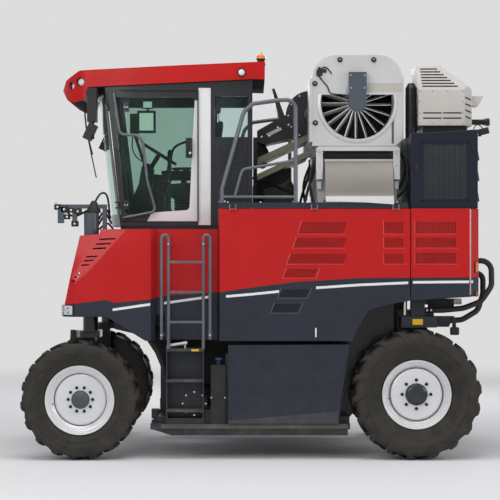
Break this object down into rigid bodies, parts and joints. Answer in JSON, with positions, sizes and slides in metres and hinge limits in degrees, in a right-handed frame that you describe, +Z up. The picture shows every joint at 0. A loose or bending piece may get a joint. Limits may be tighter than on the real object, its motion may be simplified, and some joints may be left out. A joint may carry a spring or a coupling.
{
  "type": "grape harvester",
  "caption": "Self-propelled harvester that straddles a vine row, with a raised cab, cleaning fans, a rear engine bay and steered front wheels.",
  "frame": {"origin": "on the ground, under the middle of the bounding box", "axes": "+Z up, front of the machine towards -X, its left side with ladder and door towards -Y"},
  "size_m": [4.5076, 2.69, 3.904],
  "materials": {
    "red_paint": "gloss",
    "grey_paint": "satin",
    "white_paint": "gloss",
    "black_paint": "satin",
    "silver_paint": "satin",
    "steel": "satin",
    "steel_tube": "satin",
    "cast_iron": "matte",
    "black_plastic": "matte",
    "grey_plastic": "matte",
    "olive_plastic": "matte",
    "lamp_plastic": "gloss",
    "black_mesh": "matte",
    "rubber": "matte",
    "tyre": "matte",
    "glass": "gloss",
    "fabric": "matte"
  },
  "bodies": {
    "chassis": {"main_frame": "grey_paint", "kingpin_sockets": "grey_paint", "lower_frames": "grey_paint", "tow_brackets": "grey_paint", "rear_legs": "grey_paint", "catch_plates": "black_plastic", "picking_head": "black_plastic", "elevators": "steel", "front_hoods": "red_paint", "front_skirts": "grey_paint", "rear_body": "red_paint", "rear_skirts": "grey_paint", "engine_housing": "grey_paint", "engine_vents": "black_mesh", "engine_block": "cast_iron", "exhaust_cover": "steel", "engine_pipes": "black_plastic", "fan_housings": "steel", "fan_mounts": "steel", "sorter_frames": "steel", "brush_rollers": "black_plastic", "drop_chutes": "steel", "deck": "grey_paint", "railings": "steel_tube", "return_conveyor": "steel", "transfer_chutes": "olive_plastic", "cab_frame": "black_paint", "cab_windows": "glass", "white_pillars": "white_paint", "cab_roof": "red_paint", "lamps": "lamp_plastic", "mirrors": "black_plastic", "driver_seat": "fabric", "steering_console": "black_plastic", "sensor_unit": "grey_plastic", "ladder": "steel_tube", "step_box": "grey_paint", "side_tank": "black_plastic", "lower_covers": "grey_paint", "hoses": "rubber"},
    "wheel_front_left": {"tyre_front_left": "tyre", "rim_front_left": "silver_paint"},
    "wheel_front_right": {"tyre_front_right": "tyre", "rim_front_right": "silver_paint"},
    "wheel_rear_left": {"tyre_rear_left": "tyre", "rim_rear_left": "silver_paint"},
    "wheel_rear_right": {"tyre_rear_right": "tyre", "rim_rear_right": "silver_paint"},
    "steering_leg_left": {"knuckle_left": "grey_paint"},
    "fan_left": {"fan_rotor_left": "steel"},
    "side_cover_left": {"cover_upper_left": "red_paint", "cover_lower_left": "grey_paint"},
    "steering_leg_right": {"knuckle_right": "grey_paint"},
    "fan_right": {"fan_rotor_right": "steel"},
    "side_cover_right": {"cover_upper_right": "red_paint", "cover_lower_right": "grey_paint"},
    "cab_door": {"door_frame": "black_paint", "door_panel": "white_paint", "door_glass": "glass", "door_rail": "steel_tube"}
  },
  "joints": [
    {"name": "steer_left", "type": "hinge", "parent": "chassis", "child": "steering_leg_left", "pos_m": [-1.61, -1.07, 1.5], "axis": [0, 0, 1], "range_deg": [-80, 80]},
    {"name": "spin_front_left", "type": "hinge", "parent": "steering_leg_left", "child": "wheel_front_left", "pos_m": [-1.695, -1.155, 0.565], "axis": [0, 1, 0], "continuous": true},
    {"name": "spin_rear_left", "type": "hinge", "parent": "chassis", "child": "wheel_rear_left", "pos_m": [1.49, -1.12, 0.615], "axis": [0, 1, 0], "continuous": true},
    {"name": "fan_spin_left", "type": "hinge", "parent": "chassis", "child": "fan_left", "pos_m": [0.935, -0.94, 3.385], "axis": [0, 1, 0], "continuous": true},
    {"name": "cover_lift_left", "type": "hinge", "parent": "chassis", "child": "side_cover_left", "pos_m": [0.52, -1.3, 2.366], "axis": [-1, 0, 0], "range_deg": [0, 70]},
    {"name": "steer_right", "type": "hinge", "parent": "chassis", "child": "steering_leg_right", "pos_m": [-1.61, 1.07, 1.5], "axis": [0, 0, 1], "range_deg": [-80, 80]},
    {"name": "spin_front_right", "type": "hinge", "parent": "steering_leg_right", "child": "wheel_front_right", "pos_m": [-1.695, 1.155, 0.565], "axis": [0, 1, 0], "continuous": true},
    {"name": "spin_rear_right", "type": "hinge", "parent": "chassis", "child": "wheel_rear_right", "pos_m": [1.49, 1.12, 0.615], "axis": [0, 1, 0], "continuous": true},
    {"name": "fan_spin_right", "type": "hinge", "parent": "chassis", "child": "fan_right", "pos_m": [0.935, 0.94, 3.385], "axis": [0, 1, 0], "continuous": true},
    {"name": "cover_lift_right", "type": "hinge", "parent": "chassis", "child": "side_cover_right", "pos_m": [0.52, 1.3, 2.366], "axis": [1, 0, 0], "range_deg": [0, 70]},
    {"name": "cab_door_hinge", "type": "hinge", "parent": "chassis", "child": "cab_door", "pos_m": [-1.41299, -0.75, 2.895], "axis": [0.1099, 0, -0.9939], "range_deg": [0, 80]}
  ],
  "couplings": [
    {"joint": "steer_right", "follows": "steer_left", "ratio": 1}
  ]
}
